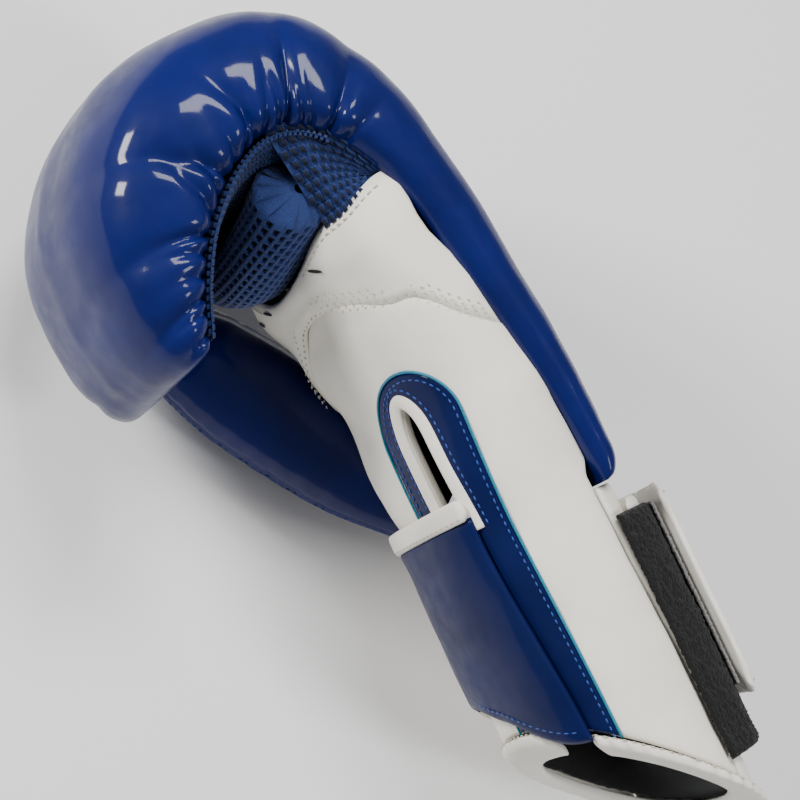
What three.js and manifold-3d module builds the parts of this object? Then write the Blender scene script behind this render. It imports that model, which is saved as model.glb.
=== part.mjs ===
// A left-hand boxing glove with a hook-and-loop wrist strap, as an assembly of its sewn and moulded pieces.
// Millimetres. +X runs from the cuff to the knuckles, +Y is the palm side, +Z is the little-finger side,
// so the glove lies on its thumb side. The origin is the centre of the cuff opening.
import * as THREE from "three";
import { mergeVertices } from "three/addons/utils/BufferGeometryUtils.js";
import Module from "manifold-3d";

const wasm = await Module();
wasm.setup();

// ---- Driving dimensions ----
const seamGap = 0.4; // clearance between neighbouring pieces
const leather = 1.2; // polyurethane leather, outer and lining
const wristDepth = 59; // palm to back, over the leather
const wristWidth = 82; // thumb side to little-finger side
const wristFoam = 5; // padding in the cuff wall
const cuffSlope = 0.87; // rise of the oblique cuff rim, towards the palm
const openingInset = 10.8; // from the cuff opening's centre to the plane that the lengths below start from
const padStart = 81; // where the hand pad begins
const mittLength = 265.5; // to the front of the knuckles
const skinThickness = 0.8;
const hollowShare = 0.3; // depth of the hand's channel in the pad, as a share of the pad's thickness
const seamX = 140; // seam between the cuff gusset and the palm panel, on the little-finger side
const slitEnd = 128; // upper end of the wrist slit
const slitAngle = 61; // middle of the slit, in degrees round the wrist from the little-finger side
const slitWidth = 8;
const pipingWidth = 4;
const loopStart = -13; // loop panel along the wrist
const loopEnd = 70;
const loopThickness = 2;
const flapThickness = 2.2; // the strap's unpadded part
const strapThickness = 3.8; // the padded free end
const strapWidth = 76; // at the free end
const hookThickness = 1.4;
const strapLift = 0.8; // the closed strap's clearance over the cuff
const gripRadius = 9; // roll that the fingers close over
const thumbRadius = 21;
const thumbWall = 6;

const wristHalfDepth = wristDepth / 2;
const wristHalfWidth = wristWidth / 2;
const degree = Math.PI / 180;
const lerp = THREE.MathUtils.lerp;

// ---- Materials ----
const material = (colour, roughness) =>
  new THREE.MeshStandardMaterial({ color: colour, roughness, metalness: 0 });
const blueLeather = material(0x10247e, 0.25);
const whiteLeather = material(0xe3dfd2, 0.45);
const blueMesh = material(0x12408f, 0.8);
const blackPile = material(0x0b0b0d, 0.95);
const hookTape = material(0x2a2a2c, 0.8);
const foam = material(0xd8d4c4, 0.9);
const lining = material(0x15161a, 0.85);

// ---- Solids from surfaces ----
const glove = new THREE.Group();

function addPiece(name, geometry, look) {
  const mesh = new THREE.Mesh(geometry, look);
  mesh.name = name;
  glove.add(mesh);
  return mesh;
}

// Turns a closed surface so that its faces point out.
function facingOut(points, faces) {
  let volume = 0;
  const [a, b, c] = [new THREE.Vector3(), new THREE.Vector3(), new THREE.Vector3()];
  for (const [i, j, k] of faces) {
    a.copy(points[i]);
    b.copy(points[j]);
    c.copy(points[k]);
    volume += a.dot(b.cross(c));
  }
  const turned = volume < 0 ? faces.map(([i, j, k]) => [i, k, j]) : faces;
  const geometry = new THREE.BufferGeometry().setFromPoints(points);
  geometry.setIndex(turned.flat());
  geometry.computeVertexNormals();
  return geometry;
}

// A curved slab: outer(u, v) and inner(u, v) are its two faces, with u and v from 0 to 1.
function slab(outer, inner, stepsU, stepsV) {
  const row = stepsV + 1;
  const side = (stepsU + 1) * row;
  const points = [];
  for (const face of [outer, inner])
    for (let i = 0; i <= stepsU; i++)
      for (let j = 0; j <= stepsV; j++) points.push(face(i / stepsU, j / stepsV));
  const faces = [];
  const quad = (a, b, c, d) => faces.push([a, b, c], [a, c, d]);
  for (let i = 0; i < stepsU; i++)
    for (let j = 0; j < stepsV; j++) {
      const p = i * row + j;
      quad(p, p + row, p + row + 1, p + 1);
      quad(side + p, side + p + 1, side + p + row + 1, side + p + row);
    }
  for (let i = 0; i < stepsU; i++)
    for (const j of [0, stepsV]) {
      const p = i * row + j;
      const edge = [p, side + p, side + p + row, p + row];
      quad(...(j ? edge.reverse() : edge));
    }
  for (let j = 0; j < stepsV; j++)
    for (const i of [0, stepsU]) {
      const p = i * row + j;
      const edge = [p, p + 1, side + p + 1, side + p];
      quad(...(i ? edge.reverse() : edge));
    }
  return facingOut(points, faces);
}

// A solid through rings of points: ring(u, v) with v once round, capped at both ends.
function loft(ring, stepsU, stepsV) {
  const points = [];
  for (let i = 0; i <= stepsU; i++)
    for (let j = 0; j < stepsV; j++) points.push(ring(i / stepsU, j / stepsV));
  const faces = [];
  for (let i = 0; i < stepsU; i++)
    for (let j = 0; j < stepsV; j++) {
      const a = i * stepsV + j;
      const b = i * stepsV + ((j + 1) % stepsV);
      faces.push([a, a + stepsV, b + stepsV], [a, b + stepsV, b]);
    }
  for (const i of [0, stepsU]) {
    const centre = new THREE.Vector3();
    for (let j = 0; j < stepsV; j++) centre.addScaledVector(points[i * stepsV + j], 1 / stepsV);
    points.push(centre);
    for (let j = 0; j < stepsV; j++) {
      const cap = [points.length - 1, i * stepsV + j, i * stepsV + ((j + 1) % stepsV)];
      faces.push(i ? cap.reverse() : cap);
    }
  }
  return facingOut(points, faces);
}

function solidOf(geometry) {
  const bare = new THREE.BufferGeometry();
  bare.setAttribute("position", geometry.getAttribute("position"));
  bare.setIndex(geometry.index);
  const merged = mergeVertices(bare, 1e-4);
  return new wasm.Manifold(
    new wasm.Mesh({
      numProp: 3,
      vertProperties: merged.attributes.position.array,
      triVerts: new Uint32Array(merged.index.array),
    }),
  );
}

function geometryOf(solid) {
  const mesh = solid.getMesh();
  const geometry = new THREE.BufferGeometry();
  geometry.setAttribute("position", new THREE.BufferAttribute(mesh.vertProperties, 3));
  geometry.setIndex(new THREE.BufferAttribute(mesh.triVerts, 1));
  geometry.computeVertexNormals();
  return geometry;
}

// The biggest body of a cut solid
function largest(solid) {
  const bodies = solid.decompose();
  bodies.sort((a, b) => b.volume() - a.volume());
  return geometryOf(bodies[0]);
}

const cut = (geometry, tool) => geometryOf(solidOf(geometry).subtract(solidOf(tool)));

// Smooth table: [[place, value], ...] read at x, level past both ends
function table(rows, x) {
  const last = rows.length - 1;
  if (x <= rows[0][0]) return rows[0][1];
  if (x >= rows[last][0]) return rows[last][1];
  const i = rows.findIndex(([place]) => place >= x);
  const share = (x - rows[i - 1][0]) / (rows[i][0] - rows[i - 1][0]);
  const eased = share * share * (3 - 2 * share);
  return lerp(rows[i - 1][1], rows[i][1], eased);
}

// ---- The hand's sleeve: cuff, wrist and palm ----
// angle is in degrees: 0 little-finger side, 90 palm, 180 thumb side, 270 back.
const roundness = 2.3; // exponent of the section's superellipse
const palmRise = [[77, 0], [122, 2], [158, 8], [178, 14]];
const depthGain = [[77, 0], [158, -3.5]];
const widthGain = [[77, 0], [122, 7], [178, 11]];

function power(value) {
  return Math.sign(value) * Math.abs(value) ** (2 / roundness);
}

function sleevePoint(x, angle, lift) {
  const depth = wristHalfDepth + table(depthGain, x) + lift;
  const width = wristHalfWidth + table(widthGain, x) + lift;
  const y = table(palmRise, x) + depth * power(Math.sin(angle * degree));
  return new THREE.Vector3(x, y, width * power(Math.cos(angle * degree)));
}

const read = (value, ...at) => (typeof value === "function" ? value(...at) : value);

// A piece of the sleeve's wall, from one x to the other and from one angle to the other. Each of the
// settings is a number or a function: from and to of (angle, lift), first and last of x, the rest of angle.
function sleevePiece({ from, to, first, last, top = 0, thickness = leather, steps }) {
  const face = (share) => (u, v) => {
    let x = padStart;
    let angle = 0;
    let lift = 0;
    for (let round = 0; round < 6; round++) {
      angle = lerp(read(first, x), read(last, x), v);
      lift = read(top, angle) - share * read(thickness, angle);
      x = lerp(read(from, angle, lift), read(to, angle, lift), u);
    }
    return sleevePoint(x, angle, lift);
  };
  return slab(face(0), face(1), ...steps);
}

// ---- Edges that neighbouring pieces share ----
const bindingDepth = 5; // of the rim's binding, along the wrist
const gapAngle = 0.7;
const rimX = (angle, lift) => cuffSlope * sleevePoint(0, angle, lift).y - openingInset;
const aboveRim = (angle, lift) => rimX(angle, lift) + bindingDepth + seamGap;
const backRows = [[0, -29], [60, -23], [padStart, -20], [114, -13], [149, -7], [185, 1], [200, 5]];
const backEdge = (x) => table(backRows, x);
const farEdge = (x) => 180 - backEdge(x);
const blueEdge = (x) => table([[0, 29], [119, 35]], x);
const stripEdge = 88; // thumb-side edge of the slit panel
const thumbSeam = 150; // where the palm leather meets the thumb-side gusset
const thumbMouth = 92; // where the thumb's opening starts
const archTop = (angle) => {
  const middle = (35 + stripEdge) / 2;
  const share = Math.min(1, Math.abs(angle - middle) / (stripEdge - middle));
  return slitEnd - 9 + 19 * Math.sqrt(1 - share * share);
};
const seamLine = (angle) => {
  return table([[-16, seamX - 2], [32, seamX + 17], [82, seamX + 26], [thumbSeam, seamX]], angle);
};
const meshEdge = (angle) => table([[0, 196], [40, 190], [90, 178], [140, 190], [180, 196]], angle);

// ---- Leather round the hand ----
const panelSpace = sleevePiece({
  from: -80,
  to: (angle) => archTop(angle) + seamGap,
  first: (x) => blueEdge(x) - gapAngle,
  last: stripEdge + gapAngle,
  top: 2,
  thickness: 6,
  steps: [6, 12],
});
const sidePanel = sleevePiece({
  from: aboveRim,
  to: (angle) => seamLine(angle) - 2 * seamGap,
  first: (x) => backEdge(x) + gapAngle,
  last: thumbSeam - gapAngle,
  steps: [8, 16],
});
addPiece("side_panel", cut(sidePanel, panelSpace), whiteLeather);
addPiece(
  "thumb_gusset",
  sleevePiece({
    from: aboveRim,
    to: thumbMouth,
    first: thumbSeam,
    last: (x) => farEdge(x) - gapAngle,
    steps: [7, 6],
  }),
  blueLeather,
);

// Prism through the wrist wall in the shape of the slit, which runs from the rim to slitEnd
function slitPrism(grow) {
  const half = slitWidth / 2 + grow;
  const outline = new THREE.Shape();
  outline.moveTo(-wristWidth, -half);
  outline.lineTo(slitEnd - 3 * half, -half);
  outline.quadraticCurveTo(slitEnd + grow, -half, slitEnd + grow, 0);
  outline.quadraticCurveTo(slitEnd + grow, half, slitEnd - 3 * half, half);
  outline.lineTo(-wristWidth, half);
  const prism = new THREE.ExtrudeGeometry(outline, {
    depth: wristDepth,
    bevelEnabled: false,
    curveSegments: 4,
  });
  prism.rotateX(-slitAngle * degree);
  const middle = sleevePoint(0, slitAngle, -wristHalfDepth);
  return prism.translate(0, middle.y, middle.z);
}

const slitPanel = sleevePiece({
  from: aboveRim,
  to: archTop,
  first: blueEdge,
  last: stripEdge,
  steps: [6, 12],
});
addPiece("slit_panel", cut(slitPanel, slitPrism(pipingWidth / 2)), blueLeather);

const bindingLift = 1.4; // the slit's binding stands this proud of the leather
const bindingBand = sleevePiece({
  from: (angle, lift) => aboveRim(angle, lift) + 2 * seamGap,
  to: slitEnd + 9,
  first: slitAngle - 17,
  last: slitAngle + 17,
  top: bindingLift,
  thickness: bindingLift - seamGap,
  steps: [6, 6],
});
const slitBinding = solidOf(bindingBand)
  .intersect(solidOf(slitPrism(pipingWidth)))
  .subtract(solidOf(slitPrism(0)));
addPiece("slit_binding", geometryOf(slitBinding), whiteLeather);

// ---- Cuff: padding, lining, rim, back pad ----
const openFrom = slitAngle + 14; // the cuff's layers stop at both sides of the slit
const openTo = slitAngle + 346;
const foamTop = -leather - seamGap;
const liningTop = foamTop - wristFoam - seamGap;
addPiece(
  "cuff_foam",
  sleevePiece({
    from: aboveRim,
    to: padStart - 2,
    first: openFrom,
    last: openTo,
    top: foamTop,
    thickness: wristFoam,
    steps: [4, 22],
  }),
  foam,
);
addPiece(
  "cuff_lining",
  sleevePiece({
    from: aboveRim,
    to: padStart - 2,
    first: openFrom,
    last: openTo,
    top: liningTop,
    thickness: leather,
    steps: [4, 22],
  }),
  lining,
);
addPiece(
  "cuff_binding",
  sleevePiece({
    from: rimX,
    to: (angle, lift) => rimX(angle, lift) + bindingDepth,
    first: openFrom,
    last: openTo,
    top: bindingLift,
    thickness: bindingLift - liningTop + leather,
    steps: [1, 32],
  }),
  whiteLeather,
);
addPiece(
  "wrist_back",
  sleevePiece({
    from: aboveRim,
    to: padStart - seamGap,
    first: farEdge,
    last: (x) => 360 + backEdge(x),
    steps: [6, 10],
  }),
  whiteLeather,
);
const backPadTop = (angle) => table([[296, 5.6], [334, 1]], angle);
addPiece(
  "back_pad",
  sleevePiece({
    from: (angle, lift) => Math.max(loopStart - 2, aboveRim(angle, lift) + 2),
    to: padStart - 4,
    first: 228,
    last: 334,
    top: backPadTop,
    thickness: (angle) => backPadTop(angle) - seamGap,
    steps: [6, 12],
  }),
  whiteLeather,
);
const loopTop = (angle) => backPadTop(angle) + seamGap + loopThickness;
addPiece(
  "loop_panel",
  sleevePiece({
    from: (angle, lift) => Math.max(loopStart, aboveRim(angle, lift) + 1),
    to: loopEnd,
    first: 230,
    last: 338,
    top: loopTop,
    thickness: loopThickness,
    steps: [6, 12],
  }),
  blackPile,
);

// ---- Strap: flap over the slit, thumb-side run and free end with its hook patch ----
const strapRoot = (x) => table([[10, 43], [88, 53]], x); // where the flap is sewn on
const strapCorner = 134; // between the flap and the thumb-side run
const strapTurn = 212; // between the thumb-side run and the free end
const strapTip = 303;
const hookTop = loopTop(0) + seamGap + hookThickness;
const flapTop = bindingLift + strapLift + flapThickness;
const endTop = hookTop + seamGap + strapThickness;
const strapTop = (angle) => table([[200, flapTop], [232, endTop]], angle);
const strapDepth = (angle) => table([[200, flapThickness], [232, strapThickness]], angle);
const strapLow = (angle) => table([[43, 11], [118, 33], [170, 22], [235, -0.5]], angle);
const strapHigh = (angle) => table([[120, 88], [220, strapWidth - 0.5]], angle);
function strapPiece(first, last, steps) {
  return sleevePiece({
    from: strapLow,
    to: strapHigh,
    first: first,
    last: last,
    top: strapTop,
    thickness: strapDepth,
    steps,
  });
}
addPiece("strap_flap", strapPiece(strapRoot, strapCorner - 1, [4, 10]), blueLeather);
addPiece("strap_side", strapPiece(strapCorner, strapTurn - 1, [4, 9]), whiteLeather);
addPiece("strap_end", strapPiece(strapTurn, strapTip, [4, 12]), whiteLeather);
addPiece(
  "flap_binding",
  sleevePiece({
    from: (angle) => strapHigh(angle) + seamGap,
    to: (angle) => strapHigh(angle) + seamGap + 1.8 * pipingWidth,
    first: strapRoot,
    last: strapCorner - 1,
    top: strapTop,
    thickness: strapDepth,
    steps: [2, 10],
  }),
  whiteLeather,
);
addPiece(
  "hook_patch",
  sleevePiece({
    from: (angle) => strapLow(angle) + 6,
    to: (angle) => strapHigh(angle) - 6,
    first: 240,
    last: strapTip - 2,
    top: hookTop,
    thickness: hookThickness,
    steps: [3, 8],
  }),
  hookTape,
);

// ---- Hand pad: the outer line O, the gathered edge line E and the widths along them ----
// Each station: outer [x, y] in the middle plane, edge [x, y], half width at the edge, greatest half width
const stations = [
  { outer: [padStart, -26.5], edge: [padStart, -14], edgeHalf: 41, half: 45 },
  { outer: [116, -25.5], edge: [114, -8], edgeHalf: 46, half: 50 },
  { outer: [152, -21.5], edge: [149, 1], edgeHalf: 49.5, half: 55 },
  { outer: [192, -16], edge: [185, 11], edgeHalf: 52, half: 59 },
  { outer: [229, -7], edge: [206, 22], edgeHalf: 52.5, half: 61 },
  { outer: [257, 12], edge: [216, 33], edgeHalf: 52, half: 61 },
  { outer: [mittLength, 41], edge: [218, 45], edgeHalf: 51, half: 60 },
  { outer: [256, 79], edge: [212, 58], edgeHalf: 49, half: 58 },
  { outer: [225, 105], edge: [199, 71], edgeHalf: 46, half: 54 },
  { outer: [186, 108], edge: [183, 80], edgeHalf: 43, half: 48 },
  { outer: [157, 99], edge: [166, 84], edgeHalf: 35, half: 38 },
];
const curveOf = (pick) => new THREE.CatmullRomCurve3(stations.map(pick), false, "centripetal");
const outerCurve = curveOf(({ outer, half }) => new THREE.Vector3(...outer, half));
const edgeCurve = curveOf(({ edge, edgeHalf }) => new THREE.Vector3(...edge, edgeHalf));

// Half of the pad's section, from the edge to the middle of the outer face,
// as [share of half width, share of thickness]
const sectionShape = [[0.97, 0.12], [1, 0.34], [0.96, 0.58], [0.82, 0.8], [0.5, 0.95], [0, 1]];

function padFrame(along) {
  const outer = outerCurve.getPoint(along);
  const edge = edgeCurve.getPoint(along);
  const half = outer.z;
  const edgeHalf = edge.z;
  const direction = outer.clone().sub(edge).setZ(0);
  const thickness = direction.length();
  return { edge: edge.setZ(0), direction: direction.normalize(), thickness, half, edgeHalf };
}

// A point of the pad's outer face: across runs from -1 to 1, from the thumb-side edge to the other.
function padOuter(along, across, depth) {
  const { edge, direction, thickness, half, edgeHalf } = padFrame(along);
  const shape = [[edgeHalf / half, 0], ...sectionShape];
  const place = (1 - Math.abs(across)) * (shape.length - 1);
  const i = Math.min(shape.length - 2, Math.floor(place));
  const share = place - i;
  const width = lerp(shape[i][0], shape[i + 1][0], share) * half;
  const rise = lerp(shape[i][1], shape[i + 1][1], share) * thickness;
  const inset = depth / Math.hypot(width / half, rise / thickness + 0.2);
  const side = Math.sign(across) * Math.max(0, width - inset * (width / half));
  const height = rise - (inset * rise) / thickness;
  return edge.clone().addScaledVector(direction, height).setZ(side);
}

// A point of the pad's inner face, hollowed in the middle for the hand
function padInner(along, across, lift) {
  const { edge, direction, thickness, edgeHalf } = padFrame(along);
  const hollow = hollowShare * thickness * Math.max(0, 1 - across ** 4);
  const reach = edgeHalf - 2 * skinThickness;
  return edge.clone().addScaledVector(direction, Math.max(0.6, hollow) + lift).setZ(across * reach);
}

const padSides = 2 * sectionShape.length;
const skinDepth = skinThickness + 1.5 * seamGap;
const padEnd = 0.985; // where the mesh stops, a little before the end of the pad
addPiece(
  "pad_foam",
  slab(
    (u, v) => padOuter(u, 2 * v - 1, skinDepth),
    (u, v) => padInner(u, 2 * v - 1, 0),
    18,
    padSides,
  ),
  foam,
);
addPiece(
  "pad_skin",
  slab(
    (u, v) => padOuter(u, 2 * v - 1, 0),
    (u, v) => padOuter(u, 2 * v - 1, skinThickness),
    18,
    padSides,
  ),
  blueLeather,
);
addPiece(
  "hand_lining",
  slab(
    (u, v) => padInner(lerp(0.02, 0.9, u), 1.6 * v - 0.8, -2 * seamGap),
    (u, v) => padInner(lerp(0.02, 0.9, u), 1.6 * v - 0.8, -2 * seamGap - leather),
    12,
    6,
  ),
  lining,
);

// ---- Mesh inside the curl, and the roll that the fingers close over ----
const curlStart = 0.44; // of the pad's length
addPiece(
  "finger_mesh",
  slab(
    (u, v) => meshPoint(lerp(curlStart, padEnd, u), 2 * v - 1, seamGap + 1),
    (u, v) => meshPoint(lerp(curlStart, padEnd, u), 2 * v - 1, seamGap + 3),
    9,
    6,
  ),
  blueMesh,
);
function meshPoint(along, across, drop) {
  const { edge, direction, edgeHalf } = padFrame(along);
  const bulge = table([[curlStart, 3], [0.57, 11], [0.68, 6], [0.9, 3]], along) * (1 - across * across);
  return edge.clone().addScaledVector(direction, -drop - bulge).setZ(across * (edgeHalf - 1));
}

// The roll and its mesh cover, as paths of [x, y] in the middle and at both ends of the grip
const gripHalf = 49;
const coverThickness = 1.5;
const coverMiddle = [[179, 43], [179, 50], [184, 57.5], [193, 58.5], [200, 52], [201, 43]];
const coverEnd = [[198, 17], [191, 30], [192, 44], [201, 51], [210, 48], [212.5, 42]];
const endShare = (u) => Math.abs(2 * u - 1) ** 1.6;
function coverPoint(u, v, depth) {
  const path = coverMiddle.map(([x, y], i) => {
    const share = endShare(u);
    return new THREE.Vector3(lerp(x, coverEnd[i][0], share), lerp(y, coverEnd[i][1], share), 0);
  });
  const curve = new THREE.CatmullRomCurve3(path);
  const tangent = curve.getTangent(v);
  const inward = new THREE.Vector3(tangent.y, -tangent.x, 0).multiplyScalar(depth);
  return curve.getPoint(v).add(inward).setZ(lerp(-gripHalf, gripHalf, u));
}
const rollPoint = (u, v, radius) => {
  const share = endShare(u);
  const turn = 2 * Math.PI * v;
  const end = radius * Math.sqrt(1 - 0.7 * Math.abs(2 * u - 1) ** 8);
  const [x, y] = [lerp(189.8, 202.5, share), lerp(46.5, 36, share)];
  return new THREE.Vector3(x + end * Math.cos(turn), y + end * Math.sin(turn), lerp(-48, 48, u));
};
const palmPanel = sleevePiece({
  from: seamLine,
  to: meshEdge,
  first: (x) => backEdge(x) + gapAngle,
  last: (x) => farEdge(x) - gapAngle,
  steps: [5, 16],
});
const coverSpace = slab(
  (u, v) => coverPoint(u, v, -seamGap),
  (u, v) => coverPoint(u, v, coverThickness + gripRadius / 2),
  12,
  12,
);
addPiece("palm_panel", largest(solidOf(palmPanel).subtract(solidOf(coverSpace))), whiteLeather);
addPiece("grip_roll", loft((u, v) => rollPoint(u, v, gripRadius), 8, 14), foam);
addPiece(
  "palm_mesh",
  slab(
    (u, v) => coverPoint(u, v, 0),
    (u, v) => coverPoint(u, v, coverThickness),
    8,
    10,
  ),
  blueMesh,
);

// ---- Thumb: a padded tube beside the palm ----
const thumbLine = new THREE.CatmullRomCurve3(
  [[98, -4, -46], [120, 13, -53], [140, 27, -57], [158, 39, -59], [176, 50, -59], [194, 58, -58]].map(
    (point) => new THREE.Vector3(...point),
  ),
  false,
  "centripetal",
);
function thumbSize(along) {
  const tip = Math.sqrt(Math.max(0.02, 1 - Math.max(0, (along - 0.8) / 0.2) ** 2));
  return thumbRadius * tip * table([[0, 0.86], [0.3, 1], [0.6, 0.97], [1, 0.8]], along);
}

// turn is in degrees: 0 away from the palm, 90 towards the floor, 180 towards the palm, 270 up
function thumbPoint(along, turn, inset) {
  const centre = thumbLine.getPoint(along);
  const tangent = thumbLine.getTangent(along);
  const down = new THREE.Vector3(0, 0, -1).addScaledVector(tangent, tangent.z).normalize();
  const outward = tangent.clone().cross(down).normalize().negate();
  const radius = thumbSize(along) - inset;
  return centre
    .addScaledVector(outward, radius * Math.cos(turn * degree))
    .addScaledVector(down, radius * Math.sin(turn * degree));
}
const thumbShell = (first, last, top, thickness, steps) =>
  slab(
    (u, v) => thumbPoint(u, lerp(first, last, v), top),
    (u, v) => thumbPoint(u, lerp(first, last, v), top + thickness),
    ...steps,
  );

// What the thumb must stay clear of: the sleeve and the pad, each a little grown
const sleeveCore = solidOf(
  loft((u, v) => sleevePoint(lerp(-60, 205, u), 360 * v, bindingLift + flapThickness + strapLift), 20, 28),
);
const padCore = solidOf(
  slab(
    (u, v) => padOuter(u, 2 * v - 1, -1.5),
    (u, v) => padInner(u, 2 * v - 1, -25),
    18,
    padSides,
  ),
);
const clearOfHand = (geometry) => largest(solidOf(geometry).subtract(sleeveCore).subtract(padCore));
const thumbSteps = [10, 9];
addPiece("thumb_skin", clearOfHand(thumbShell(6, 174, 0, skinThickness, thumbSteps)), blueLeather);
addPiece("thumb_foam", clearOfHand(thumbShell(9, 171, skinDepth, thumbWall, thumbSteps)), foam);
addPiece("thumb_inner", clearOfHand(thumbShell(186, 354, 0, leather, thumbSteps)), blueLeather);
addPiece(
  "thumb_piping",
  clearOfHand(
    loft(
      (u, v) => {
        const along = lerp(0.04, 0.95, u);
        const turn = 2 * Math.PI * v;
        const radius = (1.4 * thumbSize(along)) / thumbRadius;
        const spoke = new THREE.Vector3(0, radius * Math.cos(turn), radius * Math.sin(turn));
        return thumbPoint(along, 0, 0.5).add(spoke);
      },
      10,
      6,
    ),
  ),
  whiteLeather,
);

glove.position.x = openingInset; // so the origin is the centre of the opening

export default glove;
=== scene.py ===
import math
import random

import bmesh
import bpy
from mathutils import Matrix, Vector, noise


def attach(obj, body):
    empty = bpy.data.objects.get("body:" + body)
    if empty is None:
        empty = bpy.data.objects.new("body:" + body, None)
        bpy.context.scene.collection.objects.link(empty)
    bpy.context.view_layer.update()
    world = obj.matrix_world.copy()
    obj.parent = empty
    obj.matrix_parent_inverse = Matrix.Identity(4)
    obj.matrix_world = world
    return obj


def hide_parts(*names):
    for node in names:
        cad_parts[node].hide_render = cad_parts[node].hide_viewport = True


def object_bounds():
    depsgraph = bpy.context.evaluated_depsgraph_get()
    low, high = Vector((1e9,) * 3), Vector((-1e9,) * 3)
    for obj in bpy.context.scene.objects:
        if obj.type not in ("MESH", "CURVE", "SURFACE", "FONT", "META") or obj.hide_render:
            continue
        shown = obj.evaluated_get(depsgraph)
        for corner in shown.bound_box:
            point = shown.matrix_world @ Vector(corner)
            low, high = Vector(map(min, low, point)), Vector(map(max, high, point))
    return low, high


# Left-hand boxing glove: moulded fist pad with a gathered skin, mesh grip, slit cuff and closing strap.
# +X runs to the knuckles, +Y is the palm side, +Z the little-finger side. Lengths below are in mm.
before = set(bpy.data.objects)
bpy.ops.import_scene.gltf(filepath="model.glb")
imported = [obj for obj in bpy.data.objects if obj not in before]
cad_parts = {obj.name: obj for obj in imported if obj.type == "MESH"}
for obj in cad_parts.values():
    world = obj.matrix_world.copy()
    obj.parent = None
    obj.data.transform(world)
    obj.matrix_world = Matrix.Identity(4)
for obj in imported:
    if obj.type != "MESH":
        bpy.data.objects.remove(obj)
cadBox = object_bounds()
mm = 0.001


# camera, light and floor
view = {"elevation": 25.05, "azimuth": -4.33, "roll": 64.73, "distance": 818, "lens": 115.8,
        "target": (137.8, 0, 15), "slideRight": -22.5, "slideUp": -4.8}


def viewAxes():
    up = math.radians(view["elevation"])
    turn = math.radians(view["azimuth"])
    toward = Vector((math.sin(turn), math.sin(up) * math.cos(turn), math.cos(up) * math.cos(turn)))
    top = Vector((0, -math.cos(up), math.sin(up)))
    top = (top - toward * top.dot(toward)).normalized()
    right = top.cross(toward)
    roll = math.radians(view["roll"])
    imageRight = right * math.cos(roll) + top * math.sin(roll)
    imageUp = top * math.cos(roll) - right * math.sin(roll)
    return imageRight, imageUp, toward


def addCamera():
    imageRight, imageUp, toward = viewAxes()
    target = Vector(view["target"]) + imageRight * view["slideRight"] + imageUp * view["slideUp"]
    camera = bpy.data.objects.new("camera", bpy.data.cameras.new("camera"))
    camera.data.lens = view["lens"]
    camera.data.clip_end = 10
    place = Matrix((imageRight, imageUp, toward)).transposed().to_4x4()
    place.translation = (target + toward * view["distance"]) * mm
    camera.matrix_world = place
    bpy.context.scene.collection.objects.link(camera)
    bpy.context.scene.camera = camera


def addLamp(name, spec):
    imageRight, imageUp, toward = viewAxes()
    lamp = bpy.data.objects.new(name, bpy.data.lights.new(name, "AREA"))
    lamp.data.shape = "RECTANGLE"
    lamp.data.size, lamp.data.size_y = spec["size"]
    lamp.data.energy = spec["watts"]
    lamp.data.color = spec["tint"]
    right, up, near = spec["place"]
    middle = Vector(view["target"]) * mm
    lamp.location = middle + imageRight * right + imageUp * up + toward * near
    lamp.rotation_euler = (middle - lamp.location).to_track_quat("-Z", "Y").to_euler()
    bpy.context.scene.collection.objects.link(lamp)


addCamera()
lamps = {
    "keyLamp": {"size": (0.3, 0.25), "watts": 15, "tint": (1, 0.99, 0.97), "place": (-0.75, 0.55, 0.85)},
    "topLamp": {"size": (0.5, 0.3), "watts": 12, "tint": (1, 1, 1), "place": (0.3, 0.9, 0.9)},
    "sideLamp": {"size": (0.3, 0.5), "watts": 9, "tint": (0.97, 0.98, 1), "place": (0.95, -0.25, 0.9)},
}
for lampName, lampSpec in lamps.items():
    addLamp(lampName, lampSpec)


# materials
def linear(hexColour):
    channels = [int(hexColour[i:i + 2], 16) / 255 for i in (0, 2, 4)]
    return [c / 12.92 if c <= 0.04045 else ((c + 0.055) / 1.055) ** 2.4 for c in channels] + [1]


def addNode(tree, kind, values=None, links=None, **settings):
    made = tree.nodes.new(kind)
    for key, value in settings.items():
        setattr(made, key, value)
    for key, value in (values or {}).items():
        made.inputs[key].default_value = value
    for key, (source, output) in (links or {}).items():
        tree.links.new(source.outputs[output], made.inputs[key])
    return made


def addRamp(tree, source, low, high, lowColour, highColour):
    ramp = addNode(tree, "ShaderNodeValToRGB", links={"Fac": source})
    ramp.color_ramp.elements[0].position = low
    ramp.color_ramp.elements[1].position = high
    ramp.color_ramp.elements[0].color = lowColour
    ramp.color_ramp.elements[1].color = highColour
    return ramp


def startMaterial(name, look):
    made = bpy.data.materials.new(name)
    made.use_nodes = True
    tree = made.node_tree
    shader = tree.nodes["Principled BSDF"]
    for key, value in look.items():
        shader.inputs[key].default_value = value
    return made, tree, shader


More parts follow.
